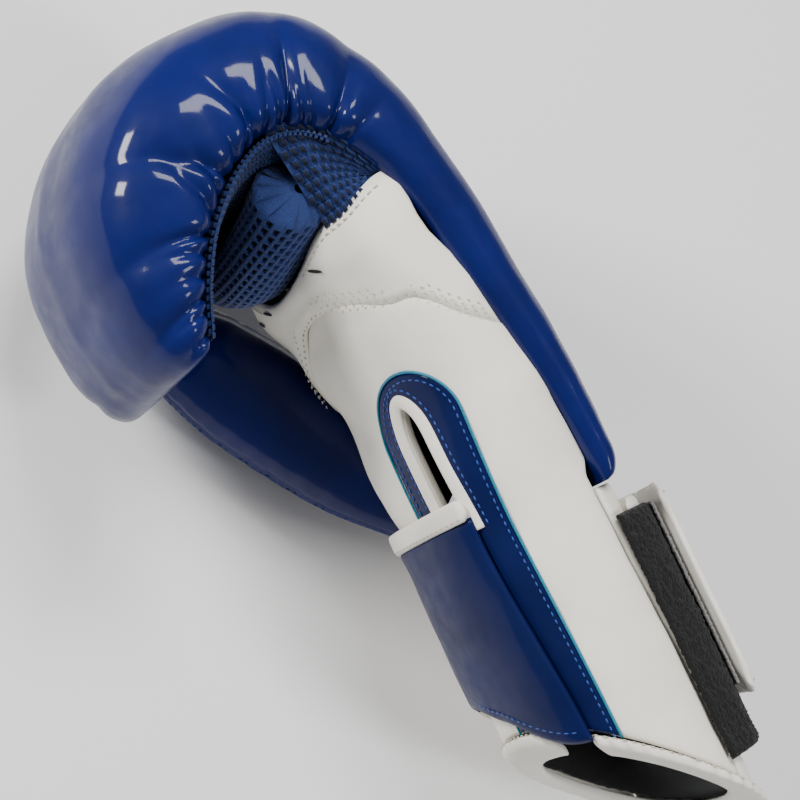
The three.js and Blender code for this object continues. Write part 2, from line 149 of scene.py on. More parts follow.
# Coated polyurethane leather, calendered: fine pores, and on the blue a pressed net of small cells.
def coatedLeather(name, colour, dark, roughness, poreSize, poreDepth, cellPitch=0, cellDepth=0, coat=0.0):
    look = {"IOR": 1.4, "Specular IOR Level": 0.12, "Coat Weight": coat, "Coat Roughness": 0.09,
            "Coat IOR": 1.4}
    made, tree, shader = startMaterial(name, look)
    place = addNode(tree, "ShaderNodeTexCoord")
    onPiece = {"Vector": (place, "Object")}
    blotch = addNode(tree, "ShaderNodeTexNoise", {"Scale": 1 / (24 * mm), "Detail": 3}, onPiece)
    tint = addRamp(tree, (blotch, "Fac"), 0.35, 0.68, linear(dark), linear(colour))
    tree.links.new(tint.outputs["Color"], shader.inputs["Base Color"])
    rub = addNode(tree, "ShaderNodeTexNoise", {"Scale": 1 / (7 * mm), "Detail": 4}, onPiece)
    spans = {"From Min": 0.3, "From Max": 0.7, "To Min": roughness * 0.82, "To Max": roughness * 1.2}
    spread = addNode(tree, "ShaderNodeMapRange", spans, {"Value": (rub, "Fac")})
    tree.links.new(spread.outputs["Result"], shader.inputs["Roughness"])
    pores = addNode(tree, "ShaderNodeTexVoronoi", {"Scale": 1 / (poreSize * mm)}, onPiece,
                    feature="DISTANCE_TO_EDGE")
    press = addNode(tree, "ShaderNodeBump", {"Strength": 0.55, "Distance": poreDepth * mm},
                    {"Height": (pores, "Distance")})
    if cellPitch:
        lay = addNode(tree, "ShaderNodeUVMap", uv_map="surface")
        turned = addNode(tree, "ShaderNodeMapping", {"Rotation": (0, 0, math.radians(45))},
                         {"Vector": (lay, "UV")})
        lines = []
        for direction in ("X", "Y"):
            scale = 1 / (cellPitch * 20 * mm)  # a Wave turns once in a twentieth of its scale's length
            lines.append(addNode(tree, "ShaderNodeTexWave", {"Scale": scale}, {"Vector": (turned, "Vector")},
                                 bands_direction=direction))
        cells = addNode(tree, "ShaderNodeMath", {}, {0: (lines[0], "Fac"), 1: (lines[1], "Fac")},
                        operation="MAXIMUM")
        press = addNode(tree, "ShaderNodeBump", {"Strength": 0.5, "Distance": cellDepth * mm},
                        {"Height": (cells, "Value"), "Normal": (press, "Normal")})
    tree.links.new(press.outputs["Normal"], shader.inputs["Normal"])
    return made


# Woven or knitted polyester: yarns in two directions, matt, with a soft sheen at grazing angles.
def knittedCloth(name, colour, dark, roughness, yarnPitch, yarnDepth, sheen):
    made, tree, shader = startMaterial(name, {"Roughness": roughness, "Sheen Weight": sheen, "IOR": 1.45})
    place = addNode(tree, "ShaderNodeTexCoord")
    onPiece = {"Vector": (place, "Object")}
    fuzz = addNode(tree, "ShaderNodeTexNoise", {"Scale": 1 / (yarnPitch * mm), "Detail": 5}, onPiece)
    yarns = addNode(tree, "ShaderNodeTexVoronoi", {"Scale": 1 / (yarnPitch * mm)}, onPiece)
    tint = addRamp(tree, (fuzz, "Fac"), 0.3, 0.7, linear(dark), linear(colour))
    tree.links.new(tint.outputs["Color"], shader.inputs["Base Color"])
    press = addNode(tree, "ShaderNodeBump", {"Strength": 0.8, "Distance": yarnDepth * mm},
                    {"Height": (yarns, "Distance")})
    tree.links.new(press.outputs["Normal"], shader.inputs["Normal"])
    return made


finishes = {
    "blueLeather": coatedLeather("blue_pu_leather", "07155a", "06124f", 0.5, 0.5, 0.05, 1.5, 0.09, 0.45),
    "navyLeather": coatedLeather("navy_pu_leather", "081448", "07123f", 0.5, 0.5, 0.05, 1.5, 0.07, 0.25),
    "ivoryLeather": coatedLeather("ivory_pu_leather", "f6f2e8", "eee9dc", 0.46, 0.7, 0.06),
    "whiteBinding": coatedLeather("white_binding_tape", "f1eee6", "e6e1d5", 0.4, 0.6, 0.05),
    "airMesh": knittedCloth("spacer_mesh", "0e2f6e", "081f52", 0.75, 0.45, 0.18, 0.12),
    # floors of the air mesh's holes: painted shade, a near-black navy far darker than the mesh's own knit
    "meshHoleShade": knittedCloth("mesh_hole_painted_shade", "04102f", "030a1e", 0.9, 0.5, 0.1, 0.0),
    "loopPile": knittedCloth("black_loop_pile", "0a0a0b", "030303", 0.95, 0.9, 0.5, 0.06),
    "hookTape": knittedCloth("hook_tape", "8d8b88", "6d6b69", 0.7, 0.8, 0.4, 0.05),
    "liningCloth": knittedCloth("tricot_lining", "131417", "08090b", 0.92, 0.4, 0.12, 0.15),
    "ivoryThread": knittedCloth("ivory_thread", "cfc9ba", "b9b2a2", 0.6, 0.3, 0.08, 0.1),
    "blueThread": knittedCloth("blue_thread", "1b49a3", "133680", 0.5, 0.3, 0.08, 0.1),
    "tealEdge": knittedCloth("teal_edge_paint", "177c9a", "0f6480", 0.45, 0.6, 0.05, 0.0),
}
print("materials made:", len(finishes))


def addFloor():
    mesh = bpy.data.meshes.new("floor")
    bm = bmesh.new()
    bmesh.ops.create_grid(bm, x_segments=1, y_segments=1, size=3)
    bm.to_mesh(mesh)
    bm.free()
    floor = bpy.data.objects.new("floor", mesh)
    low = cadBox[0][2]
    mesh.transform(Matrix.Translation((0, 0, low - 0.0005)))
    paper = {"Roughness": 0.9, "Base Color": linear("efefef")}
    made = startMaterial("pale_backdrop_paper", paper)[0]
    mesh.materials.append(made)
    bpy.context.scene.collection.objects.link(floor)


addFloor()
world = bpy.data.worlds.new("studio")
world.use_nodes = True
world.node_tree.nodes["Background"].inputs["Color"].default_value = (1, 1, 1, 1)
world.node_tree.nodes["Background"].inputs["Strength"].default_value = 0.3
bpy.context.scene.world = world


# shared lines of the glove
wrist = {"depth": 59, "width": 82, "roundness": 2.3, "opening": 10.8, "rimSlope": 0.87, "padStart": 81,
         "slitAngle": 61, "slitEnd": 128, "slitWidth": 8, "panelEdge": 88, "thumbSeam": 150}


def ease(rows, place):
    if place <= rows[0][0]:
        return rows[0][1]
    for (low, start), (high, stop) in zip(rows, rows[1:]):
        if place <= high:
            share = (place - low) / (high - low)
            return start + (stop - start) * share * share * (3 - 2 * share)
    return rows[-1][1]


def mix(a, b, share):
    return a + (b - a) * share


def read(value, *at):
    return value(*at) if callable(value) else value


def swell(value):
    return math.copysign(abs(value) ** (2 / wrist["roundness"]), value)


# angle: 0 little-finger side, 90 palm, 180 thumb side, 270 back; lift is measured out from the leather
def sleevePoint(x, angle, lift=0.0):
    depth = wrist["depth"] / 2 + ease([(77, 0), (158, -3.5)], x) + lift
    width = wrist["width"] / 2 + ease([(77, 0), (122, 7), (178, 11)], x) + lift
    rise = ease([(77, 0), (122, 2), (158, 8), (178, 14)], x)
    turn = math.radians(angle)
    return Vector((x + wrist["opening"], rise + depth * swell(math.sin(turn)), width * swell(math.cos(turn))))


def rimX(angle, lift=0.0):
    return wrist["rimSlope"] * sleevePoint(0, angle, lift).y - wrist["opening"]


def backEdge(x):
    return ease([(0, -29), (60, -23), (81, -20), (114, -13), (149, -7), (185, 1), (200, 5)], x)


def blueEdge(x):
    return ease([(0, 29), (119, 35)], x)


def archTop(angle):
    middle = (35 + wrist["panelEdge"]) / 2
    share = min(1, abs(angle - middle) / (wrist["panelEdge"] - middle))
    return wrist["slitEnd"] - 9 + 19 * math.sqrt(1 - share * share)


def seamLine(angle):
    return ease([(-16, 138), (32, 157), (82, 166), (wrist["thumbSeam"], 140)], angle)


def meshEdge(angle):
    return ease([(0, 196), (40, 190), (90, 178), (140, 190), (180, 196)], angle)


# making pieces
def finishPiece(bm, name, materials, body, replaced=(), smooth=True):
    mesh = bpy.data.meshes.new(name)
    bmesh.ops.recalc_face_normals(bm, faces=bm.faces)
    for face in bm.faces:
        face.smooth = smooth
    bm.to_mesh(mesh)
    bm.free()
    mesh.transform(Matrix.Scale(mm, 4))
    for material in materials:
        mesh.materials.append(finishes[material])
    piece = bpy.data.objects.new(name, mesh)
    bpy.context.scene.collection.objects.link(piece)
    if body:
        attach(piece, body)
    if replaced:
        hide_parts(*replaced)
    return piece


# A grid laid on place(u, v), with its real lengths in mm as the surface UV
def laidGrid(place, stepsU, stepsV):
    bm = bmesh.new()
    bmesh.ops.create_grid(bm, x_segments=stepsU, y_segments=stepsV, size=0.5)
    share = {vertex: (vertex.co.x + 0.5, vertex.co.y + 0.5) for vertex in bm.verts}
    lengthU = sum((place((i + 1) / 12, 0.5) - place(i / 12, 0.5)).length for i in range(12))
    lengthV = sum((place(0.5, (i + 1) / 12) - place(0.5, i / 12)).length for i in range(12))
    layer = bm.loops.layers.uv.new("surface")
    for face in bm.faces:
        for loop in face.loops:
            u, v = share[loop.vert]
            loop[layer].uv = (u * lengthU * mm, v * lengthV * mm)
    for vertex, (u, v) in share.items():
        vertex.co = place(u, v)
    return bm


def smoothStep(value):
    value = max(0, min(1, value))
    return value * value * (3 - 2 * value)


# How far a stitched panel is drawn down at its edge: reach is the distance from the edge, in mm
def tucked(reach, radius, depth):
    if reach >= radius:
        return 0
    return depth * (1 - math.sqrt(max(0, 1 - (1 - reach / radius) ** 2)))


def leatherNoise(point, size, height):
    return height * noise.noise(Vector(point) / size)


# A closed leather sheet on the sleeve, between two edges along it and two round it.
# spec also says how its edges are tucked down and how much it sags
def sleeveSheet(name, spec, materials, body, replaced):
    def spot(u, v, extra=0.0):
        x, angle = wrist["padStart"], 0
        for _ in range(5):
            angle = mix(read(spec["first"], x), read(spec["last"], x), v)
            lift = read(spec.get("lift", 0), angle)
            x = mix(read(spec["from"], angle, lift), read(spec["to"], angle, lift), u)
        return x, angle, lift + extra

    middle = [sleevePoint(*spot(i / 12, 0.5)) for i in range(13)]
    across = [sleevePoint(*spot(0.5, i / 12)) for i in range(13)]
    lengthU = sum((b - a).length for a, b in zip(middle, middle[1:]))
    lengthV = sum((b - a).length for a, b in zip(across, across[1:]))
    radius = spec.get("tuckRadius", 3)

    def place(u, v):
        x, angle, lift = spot(u, v)
        reach = min(u * lengthU, (1 - u) * lengthU, v * lengthV, (1 - v) * lengthV)
        lift -= tucked(max(0, reach), radius, spec.get("tuck", 0.9))
        point = sleevePoint(x, angle, 0)
        sag = spec.get("sag", 0.35)
        lift += leatherNoise(point, 17, sag) + leatherNoise(point, 6, sag / 4)
        if "shape" in spec:
            lift += spec["shape"](x, angle, u * lengthU, v * lengthV, lengthU, lengthV)
        return sleevePoint(x, angle, lift)

    pitch = spec.get("pitch", 1.6)
    bm = laidGrid(place, max(4, round(lengthU / pitch)), max(4, round(lengthV / pitch)))
    if "keep" in spec:
        gone = [face for face in bm.faces if not spec["keep"](face.calc_center_median())]
        bmesh.ops.delete(bm, geom=gone, context="FACES")
    bmesh.ops.recalc_face_normals(bm, faces=bm.faces)
    probe = next(iter(bm.faces))
    axis = Vector((0, probe.calc_center_median().y - 5, probe.calc_center_median().z))
    if probe.normal.dot(axis) < 0:
        bmesh.ops.reverse_faces(bm, faces=bm.faces)
    bmesh.ops.solidify(bm, geom=bm.faces, thickness=spec.get("thickness", 1.0))
    return finishPiece(bm, name, materials, body, replaced)


# A tube or flat tape along a line; section gives (sideways, outwards) for a turn from 0 to 1
def sweptTape(points, outward, section, steps, endTaper=0.0):
    def place(u, v):
        t = u * (len(points) - 1)
        i = min(len(points) - 2, int(t))
        here = points[i].lerp(points[i + 1], t - i)
        back = points[max(0, i - 1)]
        ahead = points[min(len(points) - 1, i + 2)]
        along = (ahead - back).normalized()
        normal = outward[i].lerp(outward[min(len(points) - 1, i + 1)], t - i).normalized()
        sideways = along.cross(normal).normalized()
        normal = sideways.cross(along).normalized()
        reach, rise = section(v)
        taper = 1 if not endTaper else min(1, math.sqrt(max(0.02, min(u, 1 - u) / endTaper)))
        return here + sideways * reach * taper + normal * rise * taper

    bm = laidGrid(place, len(points) - 1, steps)
    bmesh.ops.remove_doubles(bm, verts=bm.verts, dist=0.01)
    bmesh.ops.holes_fill(bm, edges=bm.edges, sides=0)
    return bm


def roundTape(width, height, power=2.6):
    def section(v):
        turn = 2 * math.pi * v
        reach = math.copysign(abs(math.cos(turn)) ** (2 / power), math.cos(turn)) * width / 2
        rise = math.copysign(abs(math.sin(turn)) ** (2 / power), math.sin(turn)) * height / 2
        return reach, rise
    return section


def spaced(points, pitch):
    lengths = [0]
    for a, b in zip(points, points[1:]):
        lengths.append(lengths[-1] + (b - a).length)
    count = max(1, round(lengths[-1] / pitch))
    out = []
    j = 0
    for k in range(count + 1):
        goal = lengths[-1] * k / count
        while j < len(points) - 2 and lengths[j + 1] < goal:
            j += 1
        span = max(1e-9, lengths[j + 1] - lengths[j])
        out.append(points[j].lerp(points[j + 1], (goal - lengths[j]) / span))
    return out


# Lock stitches along a line: each is a short bead sunk a little into the leather
def addStitches(bm, points, pitch, size, outward, zigzag=0.0):
    line = spaced(points, pitch)
    for k, (a, b) in enumerate(zip(line, line[1:])):
        middle = (a + b) / 2
        normal = outward(middle).normalized()
        along = (b - a).normalized()
        if zigzag:
            side = along.cross(normal).normalized()
            middle = middle + side * (zigzag if k % 2 else -zigzag) * 0.5
            along = (along * pitch + side * (zigzag if k % 2 else -zigzag)).normalized()
        side = normal.cross(along).normalized()
        normal = along.cross(side)
        turn = Matrix((along, side, normal)).transposed().to_4x4()
        turn.translation = middle
        stretch = Matrix.Diagonal((pitch * 0.37, size, size * 0.8, 1))
        bmesh.ops.create_icosphere(bm, subdivisions=1, radius=1, matrix=turn @ stretch)


def joinPart(bm, part):
    mesh = bpy.data.meshes.new("part")
    part.to_mesh(mesh)
    part.free()
    bm.from_mesh(mesh)
    bpy.data.meshes.remove(mesh)


def awayFromWrist(point):
    return Vector((0, point.y - ease([(88, 0), (132, 2), (169, 8), (189, 14)], point.x), point.z * 0.75))


def sleeveLine(where, count=60, lift=0.2):
    return [sleevePoint(*where(i / count), lift) for i in range(count + 1)]


# fist pad: a moulded roll with its skin gathered along the inner edge
fist = {"rows": 340, "outerSteps": 150, "innerSteps": 24, "endRound": 0.055, "startRound": 0.03,
        "gathersFrom": 0.40, "gathersTo": 0.985, "gatheredLength": 128, "pleatPitch": 6.6, "seed": 11}
padLine = [  # outer (x, y), edge (x, y), half width at the edge, greatest half width
    ((81, -26.5), (81, -14), 41, 45), ((116, -25.5), (114, -8), 46, 50), ((152, -21.5), (149, 1), 49.5, 55),
    ((192, -16), (185, 11), 52, 59), ((229, -7), (206, 22), 52.5, 61), ((257, 12), (216, 33), 52, 61),
    ((265.5, 41), (218, 45), 51, 60), ((256, 79), (212, 58), 49, 58), ((225, 105), (199, 71), 46, 54),
    ((186, 108), (183, 80), 43, 48), ((157, 99), (166, 84), 35, 38)]
padSection = [(0.97, 0.12), (1, 0.34), (0.96, 0.58), (0.82, 0.8), (0.5, 0.95), (0, 1)]


def curveThrough(rows, share):
    t = max(0, min(1, share)) * (len(rows) - 1)
    i = min(len(rows) - 2, int(t))
    t -= i
    before, start = rows[max(0, i - 1)], rows[i]
    stop, after = rows[i + 1], rows[min(len(rows) - 1, i + 2)]
    if i == 0:
        before = tuple(2 * a - b for a, b in zip(start, stop))
    if i == len(rows) - 2:
        after = tuple(2 * a - b for a, b in zip(stop, start))
    out = []
    for a, b, c, d in zip(before, start, stop, after):
        square = 2 * a - 5 * b + 4 * c - d
        cube = 3 * b - a - 3 * c + d
        out.append(0.5 * (2 * b + (c - a) * t + square * t * t + cube * t ** 3))
    return out


def padFrame(along):
    ox, oy, half = curveThrough([(o[0], o[1], h) for o, e, eh, h in padLine], along)
    ex, ey, edgeHalf = curveThrough([(e[0], e[1], eh) for o, e, eh, h in padLine], along)
    edge = Vector((ex + wrist["opening"], ey, 0))
    outward = Vector((ox - ex, oy - ey, 0))
    return edge, outward.normalized(), outward.length, half, edgeHalf


def endFall(along):
    start, end = fist["startRound"], fist["endRound"]
    near = min(1, along / start)
    far = min(1, (1 - along) / end)
    return math.sqrt(max(0, 1 - (1 - near) ** 2)) * math.sqrt(max(0, 1 - (1 - far) ** 2))


# across: -1 to 1 over the outer face. Gives the point, the way out and the distance from the nearer edge
def padOuter(along, across):
    edge, outward, thickness, half, edgeHalf = padFrame(along)
    rows = [(edgeHalf / half, 0.0)] + padSection
    width, rise = curveThrough(rows, 1 - abs(across))
    fall = endFall(along)
    rise = max(0.0, rise) * (0.25 + 0.75 * fall) if rise > 0 else rise
    width = mix(edgeHalf / half * 0.97, width, 0.45 + 0.55 * fall)
    point = edge + outward * rise * thickness
    point.z = math.copysign(width * half, across) if across else 0
    core = edge + outward * thickness * 0.35
    out = point - core
    out.z = point.z * 0.9
    return point, out.normalized(), (1 - abs(across)) * (thickness + half) * 0.72


def makePleats():
    maker = random.Random(fist["seed"])
    count = round(fist["gatheredLength"] / fist["pleatPitch"])
    pleats = []
    for side in (-1, 1):
        for k in range(count):
            span = fist["gathersTo"] - fist["gathersFrom"]
            place = fist["gathersFrom"] + span * (k + 0.5 + maker.uniform(-0.28, 0.28)) / count
            deep = maker.uniform(1.5, 2.6) * (1.35 if k % 3 == 1 else 1)
            reach = maker.uniform(18, 30) * (1.7 if k % 3 == 1 else 1)
            lean = maker.uniform(-0.0013, 0.0013)
            pleats.append((side, place, deep, reach, lean, maker.uniform(0.85, 1.2)))
    return pleats


pleats = makePleats()


def gatherDepth(along, across, reach):
    side = -1 if across < 0 else 1
    depth = 0.0
    spacing = (fist["gathersTo"] - fist["gathersFrom"]) / 19
    for which, place, deep, length, lean, wide in pleats:
        if which != side:
            continue
        away = abs(along - place - lean * reach)
        narrow = spacing * (0.19 + 0.0085 * reach) * wide
        if away > 3.2 * narrow:
            continue
        fade = math.exp(-(reach / length) ** 2.2)
        depth += deep * fade * math.exp(-abs(away / narrow) ** 1.5)
    start = smoothStep((along - fist["gathersFrom"] + 0.03) / 0.06)
    ridge = 2.1 * start * math.exp(-((reach - 9) / 13) ** 2)
    return depth * (1.0 + 0.55 * math.exp(-reach / 6)) - ridge


def padPoint(u, v):
    outerShare = fist["outerSteps"] / (fist["outerSteps"] + fist["innerSteps"])
    if v <= outerShare:
        t = 2 * v / outerShare - 1
        across = math.copysign(1 - (1 - abs(t)) ** 1.35, t)
        point, out, reach = padOuter(u, across)
        fall = endFall(u)
        drop = gatherDepth(u, across, reach) * min(1, fall * 1.6) + tucked(reach, 3.5, 1.6)
        drop -= leatherNoise(point, 26, 0.8) + leatherNoise(point, 9, 0.25)
        return point - out * drop
    t = (v - outerShare) / (1 - outerShare)
    edge, outward, thickness = padFrame(u)[:3]
    first = padOuter(u, 1)[0]
    across = 1 - 2 * t
    hollow = 0.26 * thickness * max(0, 1 - across ** 4) * min(1, endFall(u) * 1.4)
    point = edge + outward * hollow
    point.z = abs(first.z) * across
    return point - outward * (tucked(0, 3.5, 1.6) * (1 - max(0, 1 - across ** 8)))


def padSkin():
    bm = laidGrid(padPoint, fist["rows"], fist["outerSteps"] + fist["innerSteps"])
    bmesh.ops.remove_doubles(bm, verts=bm.verts, dist=0.05)
    bmesh.ops.holes_fill(bm, edges=bm.edges, sides=0)
    bmesh.ops.smooth_vert(bm, verts=bm.verts, factor=0.3, use_axis_x=True, use_axis_y=True, use_axis_z=True)
    skin = finishPiece(bm, "fistPad", ["blueLeather"], "glove_body", ("pad_skin", "pad_foam"))
    return skin


padSkin()
print("fist pad made")

# wrist panels: ivory around the wrist, with a blue U sewn over it round the slit
panel = {"binding": 5.4, "stitchPitch": 2.6, "stitchSize": 0.34, "stitchInset": 2.4,
         "tapeWidth": 4.6, "tapeHeight": 2.0}
slitMiddle = sleevePoint(0, wrist["slitAngle"], -wrist["depth"] / 2)
blueMiddle = (35 + wrist["panelEdge"]) / 2


def aboveRim(angle, lift=0.0):
    return rimX(angle, lift) + panel["binding"]


def sleeveAngle(point):
    x = point.x - wrist["opening"]
    depth = wrist["depth"] / 2 + ease([(77, 0), (158, -3.5)], x)
    width = wrist["width"] / 2 + ease([(77, 0), (122, 7), (178, 11)], x)
    rise = ease([(77, 0), (122, 2), (158, 8), (178, 14)], x)
    high, side = (point.y - rise) / depth, point.z / width
    power = wrist["roundness"] / 2
    turn = math.atan2(math.copysign(abs(high) ** power, high), math.copysign(abs(side) ** power, side))
    return math.degrees(turn) % 360


def slitAcross(point):
    turn = math.radians(wrist["slitAngle"])
    return (point.y - slitMiddle.y) * math.cos(turn) - (point.z - slitMiddle.z) * math.sin(turn)


def slitSpan(grow):
    half = wrist["slitWidth"] / 2 + grow
    return half, wrist["slitEnd"] - 12, wrist["slitEnd"] + grow


def inSlit(point, grow):
    half, start, end = slitSpan(grow)
    x = point.x - wrist["opening"]
    if point.y < 8 or x > end:
        return False
    if x > start:
        half *= math.sqrt(1 - ((x - start) / (end - start)) ** 2)
    return abs(slitAcross(point)) < half


def slitAngleAt(x, across):
    low, high = 20, 115
    for _ in range(20):
        middle = (low + high) / 2
        if slitAcross(sleevePoint(x, middle)) < across:
            low = middle
        else:
            high = middle
    return (low + high) / 2


# The slit's outline from the rim up the thumb side, over the tip and down to the flap
def slitOutline(grow, lift, flapped=84, count=110):
    half, start, end = slitSpan(grow)
    lower = aboveRim(wrist["slitAngle"])
    out = []
    for i in range(count + 1):
        t = 2 * i / count - 1
        side = 1 if t < 0 else -1
        away = 1 - abs(t)
        if away < 0.7:
            x, reach = mix(lower if side > 0 else flapped, start, away / 0.7), half
        else:
            turn = (away - 0.7) / 0.3 * math.pi / 2
            x, reach = start + (end - start) * math.sin(turn), half * math.cos(turn)
        out.append(sleevePoint(x, slitAngleAt(x, side * reach), lift))
    return out


def inBlue(point, inset):
    x = point.x - wrist["opening"]
    angle = sleeveAngle(point)
    side = inset * 1.3
    if not blueEdge(x) + side < angle < wrist["panelEdge"] - side:
        return False
    return x < archTop(angle) - inset


def blueOutline(inset, lift, count=150):
    out = []
    for i in range(count + 1):
        t = i / count
        if t < 0.36:
            x = mix(aboveRim(wrist["panelEdge"]), 119, t / 0.36)
            out.append(sleevePoint(x, wrist["panelEdge"] - inset * 1.35, lift))
        elif t > 0.64:
            x = mix(119, aboveRim(29), (t - 0.64) / 0.36)
            out.append(sleevePoint(x, blueEdge(x) + inset * 1.35, lift))
        else:
            turn = (t - 0.36) / 0.28 * math.pi
            angle = blueMiddle + (wrist["panelEdge"] - blueMiddle - inset * 1.35) * math.cos(turn)
            out.append(sleevePoint(119 + (19 - inset) * math.sin(turn), angle, lift))
    return out


def palmDimple(x, angle, *_):
    bend = 1.5 * math.exp(-((x - 128 - 0.35 * (angle - 100)) / 9) ** 2) * smoothStep((angle - 92) / 14)
    return -bend + 0.9 * math.exp(-((x - 112) / 12) ** 2) * smoothStep((angle - 92) / 20)


sleeveSheet("sidePanel", {
    "from": aboveRim, "to": lambda angle, lift: seamLine(angle) + 1.2,
    "first": lambda x: backEdge(x) + 0.7 - 8 * smoothStep((x - 84) / 8), "last": 149.5,
    "tuck": 1.0, "tuckRadius": 3.5, "sag": 0.55,
    "keep": lambda spot: not inBlue(spot, 3.2), "shape": palmDimple},
    ["ivoryLeather"], "glove_body", ("side_panel",))
sleeveSheet("slitPanel", {
    "from": aboveRim, "to": lambda angle, lift: archTop(angle), "first": blueEdge, "last": wrist["panelEdge"],
    "lift": 0.9, "tuck": 0.5, "tuckRadius": 1.6, "sag": 0.2, "pitch": 1.0,
    "keep": lambda spot: not inSlit(spot, 1.6)},
    ["navyLeather"], "glove_body", ("slit_panel",))
sleeveSheet("thumbGusset", {
    "from": aboveRim, "to": 91.5, "first": 150, "last": lambda x: 180 - backEdge(x) - 0.7, "sag": 0.5},
    ["ivoryLeather"], "glove_body", ("thumb_gusset",))
sleeveSheet("wristBack", {
    "from": aboveRim, "to": 80.4, "first": lambda x: 180 - backEdge(x), "last": lambda x: 360 + backEdge(x),
    "sag": 0.4}, ["ivoryLeather"], "glove_body", ("wrist_back",))

bm = sweptTape(slitOutline(2.4, 1.0), [awayFromWrist(p) for p in slitOutline(2.4, 1.0)],
               roundTape(panel["tapeWidth"], panel["tapeHeight"]), 18)
slitEdge = slitOutline(0.6, -1.2)
joinPart(bm, sweptTape(slitEdge, [awayFromWrist(p) for p in slitEdge], roundTape(1.2, 3.6, 3), 14))
finishPiece(bm, "slitBinding", ["whiteBinding"], "glove_body", ("slit_binding",))

edge = blueOutline(-0.25, 0.75)
bm = sweptTape(edge, [awayFromWrist(p) for p in edge], roundTape(0.9, 0.9, 2), 8)
finishPiece(bm, "panelEdging", ["tealEdge"], "glove_body")

bm = bmesh.new()
for line in (blueOutline(panel["stitchInset"], 1.05), slitOutline(6.4, 1.05)):
    addStitches(bm, line, panel["stitchPitch"], panel["stitchSize"], awayFromWrist)
finishPiece(bm, "panelStitches", ["blueThread"], "glove_body")
print("wrist panels made")


# palm panel: folded and topstitched along the mesh, sewn to the wrist panels by two zigzag lines, with vents
palm = {"vents": [(177.5, 62, 8), (177, 80, 8), (176.5, 104, 8), (176, 122, 8)], "ventWidth": 1.1,
        "seamGap": 5.2, "zigzag": 1.5, "zigzagPitch": 1.7}


def palmShape(x, angle, reachU, reachV, lengthU, lengthV):
    fold = 0.5 * math.exp(-((lengthU - reachU - 3.2) / 2.2) ** 2)
    seam = -0.35 * math.exp(-((reachU - 1.2) / 1.1) ** 2)
    seam -= 0.3 * math.exp(-((reachU - palm["seamGap"]) / 1.1) ** 2)
    wave = 0.9 * math.sin(angle / 11 + x / 14) * math.exp(-((x - 168) / 12) ** 2)
    return fold + seam + wave


sleeveSheet("palmPanel", {
    "from": lambda angle, lift: seamLine(angle), "to": lambda angle, lift: meshEdge(angle) - 1,
    "first": lambda x: backEdge(x) - 7, "last": lambda x: 188 - backEdge(x), "lift": 0.6,
    "tuck": 1.0, "tuckRadius": 2.6, "sag": 0.7, "pitch": 1.3, "shape": palmShape},
    ["ivoryLeather"], "glove_body", ("palm_panel",))
bm = bmesh.new()
for offset in (1.4, palm["seamGap"]):
    line = sleeveLine(lambda t, o=offset: (seamLine(mix(-8, 138, t)) + o, mix(-8, 138, t)), 120, 0.6)
    addStitches(bm, line, palm["zigzagPitch"], 0.3, awayFromWrist, palm["zigzag"])
line = sleeveLine(lambda t: (meshEdge(mix(6, 150, t)) - 4.2, mix(6, 150, t)), 120, 0.95)
addStitches(bm, line, 2.8, 0.32, awayFromWrist)
finishPiece(bm, "palmStitches", ["ivoryThread"], "glove_body")
bm = bmesh.new()
for x, angle, length in palm["vents"]:
    points = [sleevePoint(x - 1.5 + 3 * i / 8, angle + (i / 8 - 0.5) * length, 1.0) for i in range(9)]
    joinPart(bm, sweptTape(points, [awayFromWrist(p) for p in points],
                           roundTape(palm["ventWidth"], 0.7, 2), 8, endTaper=0.3))
finishPiece(bm, "palmVents", ["liningCloth"], "glove_body")
print("palm panel made")


# A closed roll round the sleeve: its section is a rounded box between two lifts and two edges along the wrist
def sleeveRoll(name, spec, materials, body, replaced):
    def place(u, v):
        angle = mix(spec["first"], spec["last"], u)
        turn = 2 * math.pi * v
        power = 2 / spec.get("power", 4)
        end = min(1, math.sqrt(max(0.02, min(u, 1 - u) / spec.get("endTaper", 0.02))))
        across = math.copysign(abs(math.cos(turn)) ** power, math.cos(turn)) * end
        rise = math.copysign(abs(math.sin(turn)) ** power, math.sin(turn)) * end
        lift = mix(read(spec["low"], angle), read(spec["high"], angle), (1 + rise) / 2)
        start, stop = read(spec["from"], angle, lift), read(spec["to"], angle, lift)
        x = mix(start, stop, (1 + across) / 2)
        spot = sleevePoint(x, angle, 0)
        lift += leatherNoise(spot, 15, spec.get("sag", 0.4)) + leatherNoise(spot, 5, spec.get("sag", 0.4) / 3)
        if "shape" in spec:
            lift += spec["shape"](x, angle, rise)
        return sleevePoint(x, angle, lift)

    bm = laidGrid(place, spec["stepsU"], spec["stepsV"])
    bmesh.ops.remove_doubles(bm, verts=bm.verts, dist=0.01)
    bmesh.ops.holes_fill(bm, edges=bm.edges, sides=0)
    return finishPiece(bm, name, materials, body, replaced)


